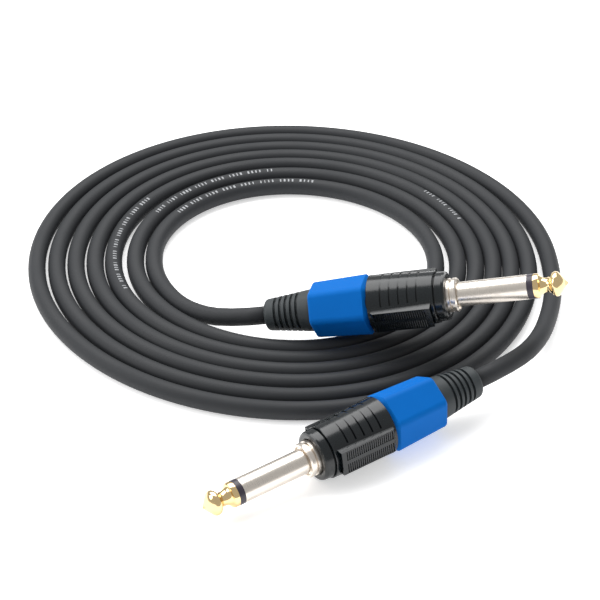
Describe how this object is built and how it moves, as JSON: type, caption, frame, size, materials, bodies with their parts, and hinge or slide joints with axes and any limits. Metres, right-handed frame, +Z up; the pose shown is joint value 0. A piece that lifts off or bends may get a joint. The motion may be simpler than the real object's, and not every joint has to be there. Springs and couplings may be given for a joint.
{
  "type": "instrument cable",
  "caption": "Coiled black instrument cable with a straight 6.35 mm mono jack plug on each end: gold tip, nickel sleeve, black housing, blue collar nut and ribbed boot.",
  "frame": {"origin": "on the table, under the middle of the box that the two plugs fill; the coil and the free cable are left out of that box", "axes": "+Z up from the table; +X to the right, across the two plugs' longest extent; +Y away, towards the coil's centre"},
  "size_m": [0.1471, 0.1856, 0.03],
  "materials": {
    "black_jacket": "satin soft vinyl",
    "black_housing": "half-gloss moulded",
    "black_rubber": "matte rubber",
    "blue_nut": "satin moulded",
    "gold_contact": "polished gold plating",
    "nickel_contact": "satin nickel plating, fine turned",
    "dark_insulator": "satin",
    "white_insulator": "natural nylon",
    "tinned_lug": "tinned sheet",
    "copper_strand": "bare stranded copper",
    "solder": "set solder"
  },
  "bodies": {
    "root": {"rear_plug_contact_tip": "gold_contact", "rear_plug_insulator_ring": "dark_insulator", "rear_plug_inner_tube": "white_insulator", "rear_plug_contact_sleeve": "nickel_contact", "rear_plug_neck_ring": "nickel_contact", "rear_plug_ground_lug": "tinned_lug", "rear_plug_rear_washer": "white_insulator", "rear_plug_tip_lug": "tinned_lug", "rear_plug_core_conductor": "copper_strand", "rear_plug_core_insulation": "white_insulator", "rear_plug_woven_shield": "copper_strand", "rear_plug_jacket_end": "black_jacket", "rear_plug_shield_tail": "copper_strand", "rear_plug_tip_solder": "solder", "rear_plug_shield_solder": "solder", "rear_plug_housing": "black_housing", "rear_plug_chuck": "white_insulator", "front_plug_contact_tip": "gold_contact", "front_plug_insulator_ring": "dark_insulator", "front_plug_inner_tube": "white_insulator", "front_plug_contact_sleeve": "nickel_contact", "front_plug_neck_ring": "nickel_contact", "front_plug_ground_lug": "tinned_lug", "front_plug_rear_washer": "white_insulator", "front_plug_tip_lug": "tinned_lug", "front_plug_core_conductor": "copper_strand", "front_plug_core_insulation": "white_insulator", "front_plug_woven_shield": "copper_strand", "front_plug_jacket_end": "black_jacket", "front_plug_shield_tail": "copper_strand", "front_plug_tip_solder": "solder", "front_plug_shield_solder": "solder", "front_plug_housing": "black_housing", "front_plug_chuck": "white_insulator", "cable_coil": "black_jacket", "rear_lead": "black_jacket", "front_lead": "black_jacket"},
    "rear_plug_boot_body": {"rear_plug_boot": "black_rubber"},
    "rear_plug_nut_body": {"rear_plug_collar_nut": "blue_nut"},
    "front_plug_boot_body": {"front_plug_boot": "black_rubber"},
    "front_plug_nut_body": {"front_plug_collar_nut": "blue_nut"}
  },
  "joints": [
    {"name": "rear_boot_slide", "type": "slide", "parent": "root", "child": "rear_plug_boot_body", "axis": [-0.9504, 0.1847, -0.2504], "range_m": [0, 0.004]},
    {"name": "rear_nut_turn", "type": "hinge", "parent": "rear_plug_boot_body", "child": "rear_plug_nut_body", "pos_m": [-0.0185, 0.03395, 0.01085], "axis": [-0.9504, 0.1847, -0.2504], "range_deg": [0, 1440]},
    {"name": "front_boot_slide", "type": "slide", "parent": "root", "child": "front_plug_boot_body", "axis": [0.8289, 0.557, 0.0523], "range_m": [0, 0.004]},
    {"name": "front_nut_turn", "type": "hinge", "parent": "front_plug_boot_body", "child": "front_plug_nut_body", "pos_m": [0.01038, -0.00249, 0.00862], "axis": [0.8289, 0.557, 0.0523], "range_deg": [0, 1440]}
  ],
  "couplings": [
    {"joint": "rear_nut_turn", "follows": "rear_boot_slide", "rad_per_m": 6283.2},
    {"joint": "front_nut_turn", "follows": "front_boot_slide", "rad_per_m": 6283.2}
  ]
}
